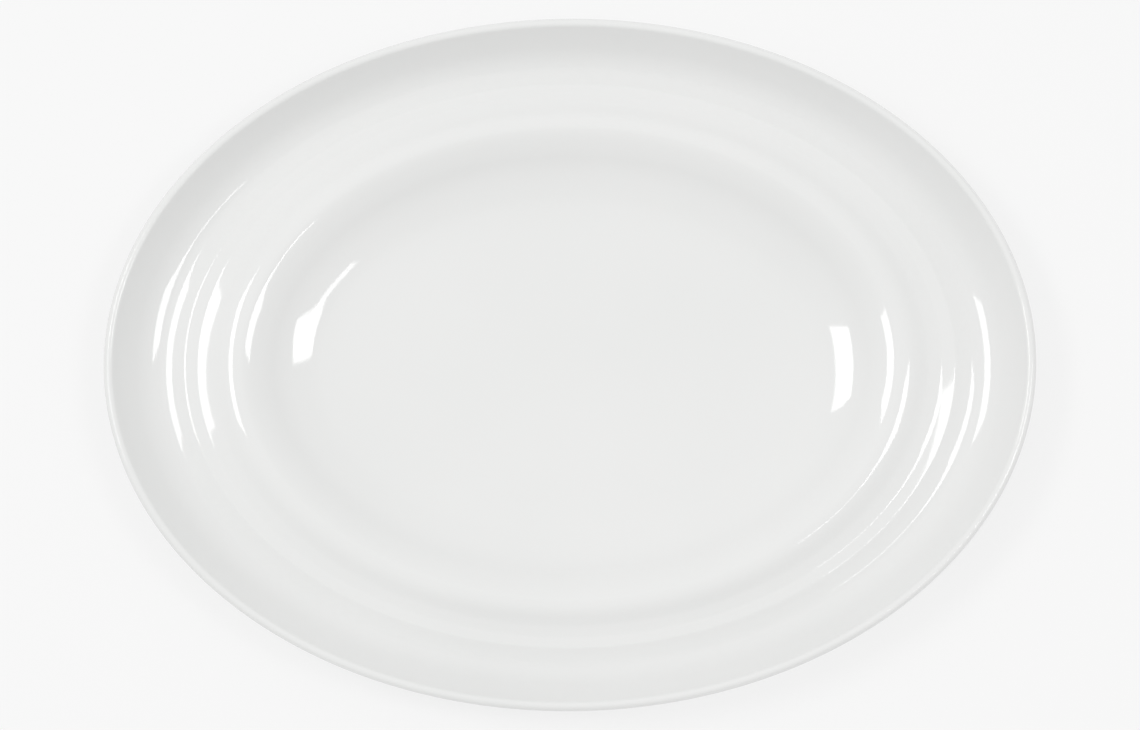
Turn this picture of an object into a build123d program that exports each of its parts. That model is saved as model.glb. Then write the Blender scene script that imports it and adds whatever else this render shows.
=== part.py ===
"""Oval china serving platter: a porcelain body, the glaze over it and the glaze inside its foot ring.

Millimetres. The origin is the centre of the plane that the foot ring rests on, +X runs along the platter
and +Z is up. Every level line of the platter is an ellipse, so each face is lofted through level rings.
A ring comes from a point of the profile over the platter's end: (half length, height, direction). The
direction is the way the glazed face looks there, in degrees: 0 is up, -90 out, -180 down and -270 in.
"""

import os
from math import cos, exp, log, radians, sin, tan

from build123d import *

# Driving sizes
LENGTH = 350.0
WIDTH = 262.0
FLOOR_HEIGHT = 9.6  # the well's floor above the table
LIP_RADIUS = 2.1  # the lip is a half round
LIP_SLOPE = 48.0
WALL_AT_RIDGE = 4.9  # thickness of the shell under the ridge
GLAZE = 0.4

# The eating side over the platter's end, from the well's floor out to the lip: (half length, slope).
# Between two neighbours the slope changes evenly.
RIDGE = 124.4
WELL_TO_RIDGE = [
    (86.0, 0.0),  # edge of the flat floor
    (94.0, 4.5),
    (99.0, 14.5),
    (106.0, 20.0),
    (112.5, 31.0),  # steepest part of the well's wall
    (119.2, 23.5),
    (122.6, 15.0),
    (RIDGE, 0.0),
    (126.6, -6.0),
    (129.0, -16.5),
]
STEP = [
    (131.5, -23.0),
    (134.0, -22.0),
    (136.0, -15.0),
    (140.0, -12.5),
    (141.0, -4.5),  # a shelf, nearly level
    (145.3, -6.0),
    (146.2, -20.0),
    (148.5, -17.0),
]
RIM = [
    (151.7, -12.0),
    (153.8, -3.0),
    (155.5, 14.0),
    (158.2, 21.5),
    (164.0, 39.5),
    (LENGTH / 2 - LIP_RADIUS * (1 + sin(radians(LIP_SLOPE))), LIP_SLOPE),
]
RING_SPACING = 1.2  # along the profile
FACE_RINGS = 16  # spacings in one face

# Foot ring
FOOT_START = 101.0  # the shell's underside ends below this half length
FOOT_FILLET = 2.6
FOOT_DRAFT = 7.0
FOOT_EDGE = 0.9
FOOT_FACE = 4.4  # width of the flat that stands on the table
GLAZE_LINE = 1.5  # the ring is bare below this height
RECESS_DEPTH = 4.4
RECESS_FILLET = 1.8


def side_half_width(half_length):
    """Half width of the ring with this half length. The rim is narrower at the sides than at the ends."""
    inset = LENGTH / 2 - half_length
    lip_share = 0.24 * 6.0 * (1 - exp(-inset / 6.0))
    rim_share = 0.76 * inset
    well_share = 0.25 * 4.0 * log(1 + exp((inset - 51.0) / 4.0))
    return WIDTH / 2 - lip_share - rim_share - well_share


def moved(point, distance):
    """A profile point moved the way its face looks. A negative distance goes into the body."""
    half_length, height, direction = point
    run = distance * sin(radians(direction))
    return half_length - run, height + distance * cos(radians(direction)), direction


def arc(centre, radius, start, end, steps):
    """Profile points round a centre from one direction to another. A hollow arc has a negative radius."""
    return [moved((*centre, start + (end - start) * n / steps), radius) for n in range(steps + 1)]


def side(table):
    """The points of a side that starts at the well's floor and has the table's slopes."""
    height = FLOOR_HEIGHT
    points = [(table[0][0], height, 0.0)]
    for (start, slope), (end, next_slope) in zip(table, table[1:]):
        count = max(1, round((end - start) / RING_SPACING))
        step = (end - start) / count
        turn = (next_slope - slope) / count
        for n in range(count):
            height += step * tan(radians(slope + turn * (n + 0.5)))
            points.append((start + step * (n + 1), height, slope + turn * (n + 1)))
    return points


def underside():
    """From the lip in to the foot ring. It follows the eating side through the shell, but has no step."""
    shell = side(WELL_TO_RIDGE + RIM)
    rise = eating[-1][1] - shell[-1][1]
    outermost = shell[-1][0]
    points = []
    for half_length, height, slope in reversed(shell[:-1]):
        if half_length >= FOOT_START:
            share = min(1.0, (outermost - half_length) / (outermost - RIDGE))
            wall = 2 * LIP_RADIUS + (WALL_AT_RIDGE - 2 * LIP_RADIUS) * share
            below = moved((half_length, height + rise, slope), -wall)
            points.append((below[0], below[1], slope - 180.0))
    return points


def level_wire(point, depth):
    """The ring of a profile point that is moved into the body by depth."""
    half_length, height, _ = moved(point, -depth)
    half_width = side_half_width(point[0]) + half_length - point[0]
    return Wire.make_ellipse(half_length, half_width, Plane.XY.offset(height))


def band(points, depth=0.0):
    """The smooth face through the rings of these profile points."""
    return Shell.make_loft([level_wire(point, depth) for point in points]).face()


def stretches(points):
    """The points in stretches that share their ends, because a face through many rings ripples."""
    return [points[n : n + FACE_RINGS + 1] for n in range(0, len(points) - 1, FACE_RINGS)]


def flat(point, depth=0.0, hole=None, hole_depth=0.0):
    """The level face inside one ring, round another one where it is given."""
    inner = [level_wire(hole, hole_depth)] if hole else None
    return Face(level_wire(point, depth), inner)


# The glazed outside: the eating side, the lip, the underside and the fillet onto the foot ring
eating = side(WELL_TO_RIDGE + STEP + RIM)
lip = arc(moved(eating[-1], -LIP_RADIUS)[:2], LIP_RADIUS, LIP_SLOPE, LIP_SLOPE - 180.0, 8)
under = underside()
outward = -90.0 - FOOT_DRAFT
foot_fillet = arc(moved(under[-1], FOOT_FILLET)[:2], -FOOT_FILLET, under[-1][2], outward, 5)

# The foot ring's edge rounds. Its ground face has no glaze, so they reach a glaze thickness below it.
edge_height = FOOT_EDGE - GLAZE
outer_run = (foot_fillet[-1][1] - edge_height) * tan(radians(FOOT_DRAFT))
outer_edge = foot_fillet[-1][0] - outer_run - FOOT_EDGE
inner_edge = outer_edge - FOOT_FACE
inward = -270.0 + FOOT_DRAFT
face_outside = arc((outer_edge, edge_height), FOOT_EDGE, outward, -180.0, 4)
face_inside = arc((inner_edge, edge_height), FOOT_EDGE, -180.0, inward, 4)

# The glaze ends on the ring's two walls
line_run = (GLAZE_LINE - edge_height) * tan(radians(FOOT_DRAFT))
line_outside = (outer_edge + FOOT_EDGE + line_run, GLAZE_LINE, -90.0)
line_inside = (inner_edge - FOOT_EDGE - line_run, GLAZE_LINE, -270.0)

# The recess inside the ring: its wall leans in as it rises, and a fillet turns it into the flat base
recess_height = RECESS_DEPTH - RECESS_FILLET
recess_run = (recess_height - edge_height) * tan(radians(FOOT_DRAFT))
recess_edge = inner_edge - FOOT_EDGE - recess_run - RECESS_FILLET
recess_fillet = arc((recess_edge, recess_height), -RECESS_FILLET, inward, -180.0, 5)

outside = [*stretches(eating), lip, *stretches([lip[-1]] + under), foot_fillet, [foot_fillet[-1], line_outside]]
recess = [[line_inside, recess_fillet[0]], recess_fillet]

# The faces where body and glaze meet
bare_floor = flat(eating[0], GLAZE)
bare_outside = [band(points, GLAZE) for points in outside]
bare_recess = [band(points, GLAZE) for points in recess]
bare_base = flat(recess_fillet[-1], GLAZE)

# The porcelain body, with the ground face and bare edges of the foot ring that it stands on
with BuildPart() as china_body:
    bare_foot = [
        band([line_outside] + face_outside, GLAZE),
        flat(face_outside[-1], GLAZE, face_inside[0], GLAZE),
        band(face_inside + [line_inside], GLAZE),
    ]
    add(Solid(Shell([bare_floor, *bare_outside, *bare_foot, *bare_recess, bare_base])))
china_body.part.label = "china_body"

# The glaze over the eating side, the lip and the underside, down to the glaze line on the foot ring
with BuildPart() as glaze_coat:
    glossy_outside = [flat(eating[0])] + [band(points) for points in outside]
    end_face = flat(line_outside, 0.0, line_outside, GLAZE)
    add(Solid(Shell([*glossy_outside, end_face, *bare_outside, bare_floor])))
glaze_coat.part.label = "glaze_coat"

# The glaze inside the foot ring, over the base and down the ring's inner wall to the glaze line
with BuildPart() as base_glaze:
    glossy_recess = [band(points) for points in recess] + [flat(recess_fillet[-1])]
    end_face = flat(line_inside, GLAZE, line_inside, 0.0)
    add(Solid(Shell([*glossy_recess, end_face, *bare_recess, bare_base])))
base_glaze.part.label = "base_glaze"

os.makedirs("parts", exist_ok=True)
for piece in (china_body, glaze_coat, base_glaze):
    export_step(piece.part, f"parts/{piece.part.label}.step")
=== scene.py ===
"""The looks of the oval china platter: a white glazed body on a bare foot ring, in metres.

The shape is the CAD model's: level rings, each an ellipse, that follow one profile over the platter's end.
The profile is written in millimetres, as (half length, height, direction). The direction is the way the
face looks there, in degrees: 0 is up, -90 out, -180 down and -270 in.
"""

from math import cos, exp, log, pi, radians, sin, tan

import bpy
from mathutils import Matrix, Vector


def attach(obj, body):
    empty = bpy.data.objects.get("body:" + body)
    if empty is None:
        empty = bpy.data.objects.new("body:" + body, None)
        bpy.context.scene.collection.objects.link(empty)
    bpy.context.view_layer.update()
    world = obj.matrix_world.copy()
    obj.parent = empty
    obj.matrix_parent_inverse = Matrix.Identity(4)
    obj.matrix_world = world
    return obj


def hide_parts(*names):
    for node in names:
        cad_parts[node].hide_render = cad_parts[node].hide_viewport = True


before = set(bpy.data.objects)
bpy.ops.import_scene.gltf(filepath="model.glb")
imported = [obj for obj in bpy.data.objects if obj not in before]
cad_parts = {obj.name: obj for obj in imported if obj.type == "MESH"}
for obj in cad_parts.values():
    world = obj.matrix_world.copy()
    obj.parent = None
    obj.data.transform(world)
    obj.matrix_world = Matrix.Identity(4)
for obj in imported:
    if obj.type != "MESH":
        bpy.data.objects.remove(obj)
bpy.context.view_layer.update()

MM = 0.001

# The platter's sizes, as in the CAD model
LENGTH = 350.0
WIDTH = 262.0
FLOOR_HEIGHT = 9.6
LIP_RADIUS = 2.1
LIP_SLOPE = 48.0
WALL_AT_RIDGE = 4.9
GLAZE = 0.4

# The eating side over the platter's end, from the well's floor out to the lip: (half length, slope).
# Between two neighbours the slope changes evenly.
RIDGE = 124.4
WELL_TO_RIDGE = [
    (86.0, 0.0),
    (94.0, 4.5),
    (99.0, 14.5),
    (106.0, 20.0),
    (112.5, 31.0),
    (119.2, 23.5),
    (122.6, 15.0),
    (RIDGE, 0.0),
    (126.6, -6.0),
    (129.0, -16.5),
]
STEP = [
    (131.5, -23.0),
    (134.0, -22.0),
    (136.0, -15.0),
    (140.0, -12.5),
    (141.0, -4.5),
    (145.3, -6.0),
    (146.2, -20.0),
    (148.5, -17.0),
]
RIM = [
    (151.7, -12.0),
    (153.8, -3.0),
    (155.5, 14.0),
    (158.2, 21.5),
    (164.0, 39.5),
    (LENGTH / 2 - LIP_RADIUS * (1 + sin(radians(LIP_SLOPE))), LIP_SLOPE),
]

# Half widths: the share of a ring's inset along the length that it also has across
RIM_SHARE = 0.76
LIP_BLEND = 6.0  # at the edge the share is 1, and it falls to the rim's over about this inset
WELL_INSET = 51.0  # further in than this the share is larger
WELL_SHARE_ADDED = 0.25
WELL_BLEND = 4.0

# Foot ring
FOOT_START = 101.0
FOOT_FILLET = 2.6
FOOT_DRAFT = 7.0
FOOT_EDGE = 0.9
FOOT_FACE = 4.4
GLAZE_LINE = 1.5
RECESS_DEPTH = 4.4
RECESS_FILLET = 1.8

# Meshes
AROUND = 288  # mesh points round a ring
RING_SPACING = 0.45  # along the profile
FLAT_RINGS = 10  # rings over a flat oval

# The studio, in metres and degrees
FLOOR_HALF_SIZE = 6.0
FLOOR_GLOW = 0.94
FLOOR_LIT_SHARE = 0.3  # the rest of the table's white is its own glow
SKY_BRIGHTEST = (-0.17, 0.32, 0.93)  # the direction it comes from
SKY_LOW = 0.31
SKY_HIGH = 0.93
LAMP_DISTANCE = 2.5
LAMP_RADIANCE = 6.0
CAMERA_AIM = (0, -0.0018, 0.0243)
CAMERA_ELEVATION = 82.7
CAMERA_ROLL = 0.53
CAMERA_DISTANCE = 1.2
CAMERA_LENS = 100.98  # millimetres


def side_half_width(half_length):
    """Half width of the ring with this half length. The rim is narrower at the sides than at the ends."""
    inset = LENGTH / 2 - half_length
    at_lip = (1 - RIM_SHARE) * LIP_BLEND * (1 - exp(-inset / LIP_BLEND))
    at_well = WELL_SHARE_ADDED * WELL_BLEND * log(1 + exp((inset - WELL_INSET) / WELL_BLEND))
    return WIDTH / 2 - at_lip - RIM_SHARE * inset - at_well


def moved(point, distance):
    """A profile point moved the way its face looks."""
    half_length, height, direction = point
    run = distance * sin(radians(direction))
    return half_length - run, height + distance * cos(radians(direction)), direction


def arc(centre, radius, start, end, steps):
    """Profile points round a centre. A hollow arc has a negative radius."""
    return [moved((*centre, start + (end - start) * n / steps), radius) for n in range(steps + 1)]


def side(table):
    """The points of a side that starts at the well's floor and has the table's slopes."""
    height = FLOOR_HEIGHT
    points = [(table[0][0], height, 0.0)]
    for (start, slope), (end, next_slope) in zip(table, table[1:]):
        count = max(1, round((end - start) / RING_SPACING))
        step = (end - start) / count
        turn = (next_slope - slope) / count
        for n in range(count):
            height += step * tan(radians(slope + turn * (n + 0.5)))
            points.append((start + step * (n + 1), height, slope + turn * (n + 1)))
    return points


def underside():
    """From the lip in to the foot ring. It follows the eating side through the shell, but has no step."""
    shell = side(WELL_TO_RIDGE + RIM)
    rise = eating[-1][1] - shell[-1][1]
    outermost = shell[-1][0]
    points = []
    for half_length, height, slope in reversed(shell[:-1]):
        if half_length >= FOOT_START:
            share = min(1.0, (outermost - half_length) / (outermost - RIDGE))
            wall = 2 * LIP_RADIUS + (WALL_AT_RIDGE - 2 * LIP_RADIUS) * share
            below = moved((half_length, height + rise, slope), -wall)
            points.append((below[0], below[1], slope - 180.0))
    return points


def rings(points, depth=0.0):
    """(half length, half width, height) in metres of profile points moved into the body by depth."""
    made = []
    for point in points:
        half_length, height, _ = moved(point, -depth)
        half_width = side_half_width(point[0]) + half_length - point[0]
        made.append((half_length * MM, half_width * MM, height * MM))
    return made


def flat_rings(edge):
    """The rings of a flat oval, from near its middle out to just inside its edge."""
    a, b, z = edge
    return [(a * n / FLAT_RINGS, b * n / FLAT_RINGS, z) for n in range(1, FLAT_RINGS)]


def oval_mesh(name, levels, sharp=()):
    """A closed mesh through rings, with a point in the middle of the first and of the last one.

    The shading has an edge at the rings whose numbers are in sharp.
    """
    verts = [(0, 0, levels[0][2])]
    for a, b, z in levels:
        for n in range(AROUND):
            t = 2 * pi * n / AROUND
            verts.append((a * cos(t), b * sin(t), z))
    verts.append((0, 0, levels[-1][2]))
    faces = []
    for n in range(AROUND):
        m = (n + 1) % AROUND
        faces.append((0, 1 + n, 1 + m))
        for k in range(len(levels) - 1):
            low, high = 1 + k * AROUND, 1 + (k + 1) * AROUND
            faces.append((low + n, high + n, high + m, low + m))
        last = 1 + (len(levels) - 1) * AROUND
        faces.append((last + n, len(verts) - 1, last + m))
    mesh = bpy.data.meshes.new(name)
    mesh.from_pydata(verts, [], faces)
    mesh.shade_smooth()
    sharp_starts = {1 + k * AROUND for k in sharp}
    for edge in mesh.edges:
        first, second = sorted(edge.vertices)
        ring_start = 1 + (first - 1) // AROUND * AROUND
        same_ring = first > 0 and (second - 1) // AROUND == (first - 1) // AROUND
        if same_ring and ring_start in sharp_starts:
            edge.use_edge_sharp = True
    made = bpy.data.objects.new(name, mesh)
    bpy.context.scene.collection.objects.link(made)
    return made


# The profile, in the same stretches as the CAD model's
eating = side(WELL_TO_RIDGE + STEP + RIM)
lip = arc(moved(eating[-1], -LIP_RADIUS)[:2], LIP_RADIUS, LIP_SLOPE, LIP_SLOPE - 180.0, 24)
under = underside()
outward = -90.0 - FOOT_DRAFT
foot_fillet = arc(moved(under[-1], FOOT_FILLET)[:2], -FOOT_FILLET, under[-1][2], outward, 10)
edge_height = FOOT_EDGE - GLAZE
outer_run = (foot_fillet[-1][1] - edge_height) * tan(radians(FOOT_DRAFT))
outer_edge = foot_fillet[-1][0] - outer_run - FOOT_EDGE
inner_edge = outer_edge - FOOT_FACE
inward = -270.0 + FOOT_DRAFT
face_outside = arc((outer_edge, edge_height), FOOT_EDGE, outward, -180.0, 8)
face_inside = arc((inner_edge, edge_height), FOOT_EDGE, -180.0, inward, 8)
line_run = (GLAZE_LINE - edge_height) * tan(radians(FOOT_DRAFT))
line_outside = (outer_edge + FOOT_EDGE + line_run, GLAZE_LINE, -90.0)
line_inside = (inner_edge - FOOT_EDGE - line_run, GLAZE_LINE, -270.0)
recess_height = RECESS_DEPTH - RECESS_FILLET
recess_run = (recess_height - edge_height) * tan(radians(FOOT_DRAFT))
recess_edge = inner_edge - FOOT_EDGE - recess_run - RECESS_FILLET
recess_fillet = arc((recess_edge, recess_height), -RECESS_FILLET, inward, -180.0, 10)
outside = eating[:-1] + lip + under[:-1] + foot_fillet + [line_outside]
recess = [line_inside] + recess_fillet


def glaze_coat():
    """The glaze over the eating side, the lip and the underside, down to the foot ring's outer wall."""
    glossy, bare = rings(outside), rings(outside, GLAZE)
    levels = flat_rings(glossy[0]) + glossy + bare[::-1] + flat_rings(bare[0])[::-1]
    line = FLAT_RINGS - 1 + len(glossy)
    return oval_mesh("glazed_china", levels, (line - 1, line))


def base_glaze():
    """The glaze over the base inside the foot ring."""
    glossy, bare = rings(recess), rings(recess, GLAZE)
    levels = flat_rings(bare[-1]) + bare[::-1] + glossy + flat_rings(glossy[-1])[::-1]
    line = FLAT_RINGS - 1 + len(bare)
    return oval_mesh("glazed_base", levels, (line - 1, line))


def china_body():
    """The porcelain under both glazes, with the bare foot ring that it stands on."""
    foot = [line_outside] + face_outside + face_inside + [line_inside]
    bare = rings(outside[:-1], GLAZE) + rings(foot, GLAZE) + rings(recess[1:], GLAZE)
    levels = flat_rings(bare[0]) + bare + flat_rings(bare[-1])[::-1]
    return oval_mesh("bisque_foot", levels)


# Materials
def new_material(name):
    material = bpy.data.materials.new(name)
    material.use_nodes = True
    nodes, links = material.node_tree.nodes, material.node_tree.links
    return material, nodes, links, nodes["Principled BSDF"]


def noise(nodes, links, scale, detail):
    """A noise over the object's own coordinates."""
    place = nodes.new("ShaderNodeTexCoord")
    made = nodes.new("ShaderNodeTexNoise")
    made.inputs["Scale"].default_value = scale
    made.inputs["Detail"].default_value = detail
    links.new(place.outputs["Object"], made.inputs["Vector"])
    return made


def two_tone(nodes, links, source, low, high):
    """A colour that drifts between two tones over the middle of the noise's range."""
    ramp = nodes.new("ShaderNodeValToRGB")
    ramp.color_ramp.elements[0].position = 0.35
    ramp.color_ramp.elements[0].color = (*low, 1)
    ramp.color_ramp.elements[1].position = 0.65
    ramp.color_ramp.elements[1].color = (*high, 1)
    links.new(source.outputs["Fac"], ramp.inputs["Fac"])
    return ramp


def bump(nodes, links, source, distance, strength, normal=None):
    made = nodes.new("ShaderNodeBump")
    made.inputs["Distance"].default_value = distance
    made.inputs["Strength"].default_value = strength
    links.new(source.outputs["Fac"], made.inputs["Height"])
    if normal:
        links.new(normal.outputs["Normal"], made.inputs["Normal"])
    return made


def porcelain_glaze():
    """White china under a clear glossy glaze that lies in very faint waves."""
    material, nodes, links, shader = new_material("porcelain_glaze")
    tone = two_tone(nodes, links, noise(nodes, links, 9.0, 3.0), (0.795, 0.8, 0.792), (0.81, 0.813, 0.806))
    links.new(tone.outputs["Color"], shader.inputs["Base Color"])
    shader.inputs["Roughness"].default_value = 0.055
    shader.inputs["IOR"].default_value = 1.5
    waves = bump(nodes, links, noise(nodes, links, 55.0, 1.0), 0.0001, 0.12)
    peel = bump(nodes, links, noise(nodes, links, 700.0, 2.0), 0.00001, 0.15, waves)
    links.new(peel.outputs["Normal"], shader.inputs["Normal"])
    return material


def bisque():
    """Fired porcelain with no glaze, ground matt where it stands."""
    material, nodes, links, shader = new_material("bare_bisque")
    tone = two_tone(nodes, links, noise(nodes, links, 160.0, 5.0), (0.66, 0.63, 0.57), (0.76, 0.74, 0.7))
    links.new(tone.outputs["Color"], shader.inputs["Base Color"])
    shader.inputs["Roughness"].default_value = 0.85
    grains = bump(nodes, links, noise(nodes, links, 2600.0, 3.0), 0.0001, 0.5)
    links.new(grains.outputs["Normal"], shader.inputs["Normal"])
    return material


glaze = porcelain_glaze()
for made, node, slot, material in (
    (glaze_coat(), "glaze_coat", "glaze", glaze),
    (base_glaze(), "base_glaze", "glaze", glaze),
    (china_body(), "china_body", "bisque", bisque()),
):
    made.data.materials.append(material)
    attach(made, "root")
    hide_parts(node)


# The studio
def floor():
    """A white table that is bright enough to keep only a trace of the platter's shade."""
    size = FLOOR_HALF_SIZE
    corners = [(-size, -size, 0), (size, -size, 0), (size, size, 0), (-size, size, 0)]
    mesh = bpy.data.meshes.new("table_top")
    mesh.from_pydata(corners, [], [(0, 1, 2, 3)])
    made = bpy.data.objects.new("table_top", mesh)
    bpy.context.scene.collection.objects.link(made)
    material, nodes, links, shader = new_material("table_white")
    shader.inputs["Base Color"].default_value = (0.9, 0.9, 0.9, 1)
    shader.inputs["Roughness"].default_value = 0.9
    shader.inputs["Specular IOR Level"].default_value = 0.0
    glow = nodes.new("ShaderNodeEmission")
    glow.inputs["Color"].default_value = (1, 1, 1, 1)
    glow.inputs["Strength"].default_value = FLOOR_GLOW
    mix = nodes.new("ShaderNodeMixShader")
    mix.inputs["Fac"].default_value = FLOOR_LIT_SHARE
    links.new(glow.outputs["Emission"], mix.inputs[1])
    links.new(shader.outputs["BSDF"], mix.inputs[2])
    links.new(mix.outputs["Shader"], nodes["Material Output"].inputs["Surface"])
    mesh.materials.append(material)


def sky():
    """Soft light from all round, brightest from above, a little to the far left, and weakest from below."""
    world = bpy.data.worlds.new("studio")
    bpy.context.scene.world = world
    world.use_nodes = True
    nodes, links = world.node_tree.nodes, world.node_tree.links
    place = nodes.new("ShaderNodeTexCoord")
    towards = nodes.new("ShaderNodeVectorMath")
    towards.operation = "DOT_PRODUCT"
    towards.inputs[1].default_value = Vector(SKY_BRIGHTEST).normalized()
    links.new(place.outputs["Generated"], towards.inputs[0])
    level = nodes.new("ShaderNodeMapRange")
    level.inputs["From Min"].default_value = -1.0
    level.inputs["From Max"].default_value = 1.0
    level.inputs["To Min"].default_value = SKY_LOW
    level.inputs["To Max"].default_value = SKY_HIGH
    links.new(towards.outputs["Value"], level.inputs["Value"])
    nodes["Background"].inputs["Color"].default_value = (1, 1, 1, 1)
    links.new(level.outputs["Result"], nodes["Background"].inputs["Strength"])


def softbox(name, azimuth, from_zenith, centre, size, turn):
    """A lamp in this direction from the origin. Its centre and size are across and down its own face."""
    a, z = radians(azimuth), radians(from_zenith)
    back = Vector((cos(a) * sin(z), sin(a) * sin(z), cos(z)))
    across = Vector((-sin(a), cos(a), 0))
    down = Vector((cos(a) * cos(z), sin(a) * cos(z), -sin(z)))
    facing = Matrix((across, -down, back)).transposed() @ Matrix.Rotation(-radians(turn), 3, "Z")
    data = bpy.data.lights.new(name, "AREA")
    data.shape = "RECTANGLE"
    data.size, data.size_y = size
    data.energy = LAMP_RADIANCE * pi * size[0] * size[1]
    lamp = bpy.data.objects.new(name, data)
    lamp.location = back * LAMP_DISTANCE + facing @ Vector((centre[0], -centre[1], 0))
    lamp.rotation_mode = "QUATERNION"
    lamp.rotation_quaternion = facing.to_quaternion()
    bpy.context.scene.collection.objects.link(lamp)


def camera():
    """Almost straight above, from the platter's near side."""
    elevation = radians(CAMERA_ELEVATION)
    back = Vector((0, -cos(elevation), sin(elevation)))
    data = bpy.data.cameras.new("camera")
    data.sensor_width = 36.0
    data.lens = CAMERA_LENS
    made = bpy.data.objects.new("camera", data)
    made.location = Vector(CAMERA_AIM) + back * CAMERA_DISTANCE
    made.rotation_mode = "QUATERNION"
    upright = (-back).to_track_quat("-Z", "Y")
    made.rotation_quaternion = upright @ Matrix.Rotation(-radians(CAMERA_ROLL), 3, "Z").to_quaternion()
    bpy.context.scene.collection.objects.link(made)
    bpy.context.scene.camera = made


camera()
floor()
sky()
softbox("left_softbox", 179.2, 30.0, (-0.376, 0.002), (0.936, 0.542), -7.7)
softbox("right_softbox", 3.0, 25.4, (-0.071, 0.009), (0.539, 0.552), -6.2)
softbox("right_strip", -26.0, 22.5, (-0.02, 0.0), (0.44, 0.1), 16.0)
bpy.context.scene.view_settings.view_transform = "Standard"
